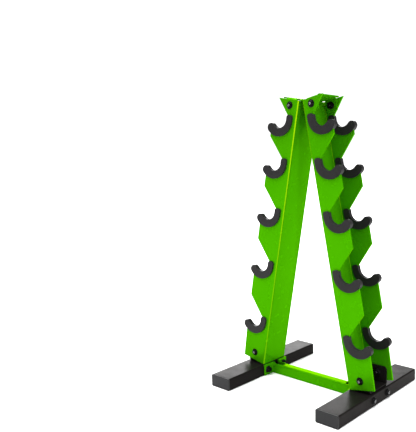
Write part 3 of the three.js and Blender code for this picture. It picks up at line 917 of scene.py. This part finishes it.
for number, side in enumerate(SIDES):
    turn = SIDE_TURN[side]
    lean = turn @ LEANING
    piece(f"upright_{side}", upright_mesh, lean, highlighted_upright_coat)
    foot_place = turn @ shift(FOOT_CENTRE_X, 0, FOOT_HEIGHT / 2)
    piece(f"foot_{side}", foot_shape, foot_place, black_coat)
    piece(f"foot_bracket_{side}", bracket_shape, turn, black_coat)
    for end in ENDS:
        where = f"{side}_{end_name(side, end)}"
        step = 2 * number + (end > 0)
        cap_y = end * (-CAP_FRONT_Y - CAP_HEAD)
        cap_turn = Matrix.Identity(4) if end < 0 else HALF_TURN
        cap_place = turn @ shift(FOOT_CENTRE_X, cap_y, FOOT_HEIGHT / 2) @ cap_turn
        piece(f"foot_cap_{where}", cap_shape, cap_place, cap_plastic)
        for i, seat in enumerate(SEATS, 1):
            place = lean @ shift(0, 0, seat)
            piece(f"cradle_pad_{where}_{i}", pad_meshes[end], place, pad_plastic)
        flange_fastener(where, "top", lean, *TOP_BOLT, end, FLANGE_INNER_Y - GAP - PLATE_SHEET, step)
        leg_y = bracket_high.y - BRACKET_SHEET
        foot_step = step + FOOT_STEPS
        flange_fastener(where, "foot", turn, foot_bolt.x, foot_bolt.z, end, leg_y, foot_step)
        bar_y = end * bar_bolt.y
        head = turn @ shift(foot_high.x + GAP, bar_y, bar_bolt.z) @ TO_X[1] @ spin(step + BAR_SCREW_STEPS)
        piece(f"screw_bar_{where}", long_screw, head, black_steel)
        nut_x = BAR_TAB_X - BAR_SHEET - GAP
        back = turn @ shift(nut_x, bar_y, bar_bolt.z) @ TO_X[-1] @ spin(step + BAR_NUT_STEPS)
        piece(f"nut_bar_{where}", nut, back, black_steel)

piece("top_bracket", top_bracket_mesh(), Matrix.Identity(4), green_coat)
piece("crossbar", crossbar_mesh(), Matrix.Identity(4), green_coat)

# ---------------------------------------------------------------- floor, lights, camera

FLOOR_REACH = 40  # metres, as are the two heights
FLOOR_BOTTOM = -0.05
FLOOR_TOP = -0.0003
FLOOR_WHITE = 0.90
FLOOR_ROUGHNESS = 0.9
WORLD_WHITE = (1, 1, 1, 1)
floor_span = (-FLOOR_REACH, FLOOR_REACH)
floor_mesh = block(floor_span, floor_span, (FLOOR_BOTTOM, FLOOR_TOP))
floor_colour = (FLOOR_WHITE, FLOOR_WHITE, FLOOR_WHITE, 1)
floor_paint = shader("floor_paint", FLOOR_ROUGHNESS, Base_Color=floor_colour, Specular_IOR_Level=0.0)[0]
floor_mesh.materials.append(floor_paint)
added("floor", floor_mesh)

AMBIENT = 0.26  # strength of the white world as light; the camera sees it at 1
world = bpy.data.worlds.new("studio")
world.use_nodes = True
world_nodes, world_links = world.node_tree.nodes, world.node_tree.links
soft_white = world_nodes["Background"]
soft_white.inputs["Color"].default_value = WORLD_WHITE
soft_white.inputs["Strength"].default_value = AMBIENT
backdrop_white = world_nodes.new("ShaderNodeBackground")
backdrop_white.inputs["Color"].default_value = WORLD_WHITE
backdrop = world_nodes.new("ShaderNodeMixShader")
world_links.new(world_nodes.new("ShaderNodeLightPath").outputs["Is Camera Ray"], backdrop.inputs["Fac"])
world_links.new(soft_white.outputs["Background"], backdrop.inputs[1])
world_links.new(backdrop_white.outputs["Background"], backdrop.inputs[2])
world_links.new(backdrop.outputs["Shader"], world_nodes["World Output"].inputs["Surface"])
bpy.context.scene.world = world


def soft_sun(name, azimuth, elevation, spread, power):
    """Even light from far off; azimuth 0 is straight in front of the rack and 90 is to its right."""
    data = bpy.data.lights.new(name, "SUN")
    data.angle = math.radians(spread)
    data.energy = power
    light = added(name, data)
    across, up = math.radians(azimuth), math.radians(elevation)
    to_light = Vector((math.sin(across) * math.cos(up), -math.cos(across) * math.cos(up), math.sin(up)))
    light.rotation_mode = "QUATERNION"
    light.rotation_quaternion = to_light.to_track_quat("Z", "Y")


soft_sun("key_light", azimuth=-12, elevation=76, spread=66, power=5.1)
soft_sun("edge_light", azimuth=66, elevation=3, spread=6, power=0.9)
soft_sun("side_light", azimuth=112, elevation=32, spread=24, power=1.0)
soft_sun("back_light", azimuth=222, elevation=16, spread=30, power=1.1)

# The view that matches the photograph: place in metres, lens and sensor in millimetres.
CAMERA_PLACE = (0.8267, -1.0639, 0.5572)
CAMERA_AZIMUTH = math.radians(39.157)
CAMERA_DIP = math.radians(8.201)
CAMERA_ROLL = math.radians(-0.762)
CAMERA_SENSOR = 36
CAMERA_LENS = 47.02
CAMERA_SHIFT = (-0.2130, 0.0539)
CAMERA_CLIP_START = 0.05
view_direction = Vector((
    -math.sin(CAMERA_AZIMUTH) * math.cos(CAMERA_DIP),
    math.cos(CAMERA_AZIMUTH) * math.cos(CAMERA_DIP),
    -math.sin(CAMERA_DIP),
))
level_right = Vector((math.cos(CAMERA_AZIMUTH), math.sin(CAMERA_AZIMUTH), 0))
level_up = level_right.cross(view_direction)
camera_right = math.cos(CAMERA_ROLL) * level_right + math.sin(CAMERA_ROLL) * level_up
camera_up = math.cos(CAMERA_ROLL) * level_up - math.sin(CAMERA_ROLL) * level_right
camera_data = bpy.data.cameras.new("camera")
camera_data.sensor_width = CAMERA_SENSOR
camera_data.lens = CAMERA_LENS
camera_data.shift_x, camera_data.shift_y = CAMERA_SHIFT
camera_data.clip_start = CAMERA_CLIP_START
camera = added("camera", camera_data)
camera.matrix_world = Matrix.Translation(CAMERA_PLACE) @ Matrix(
    (camera_right, camera_up, -view_direction)
).transposed().to_4x4()
bpy.context.scene.camera = camera
bpy.context.scene.view_settings.view_transform = "Standard"
bpy.context.scene.view_settings.look = "Medium High Contrast"
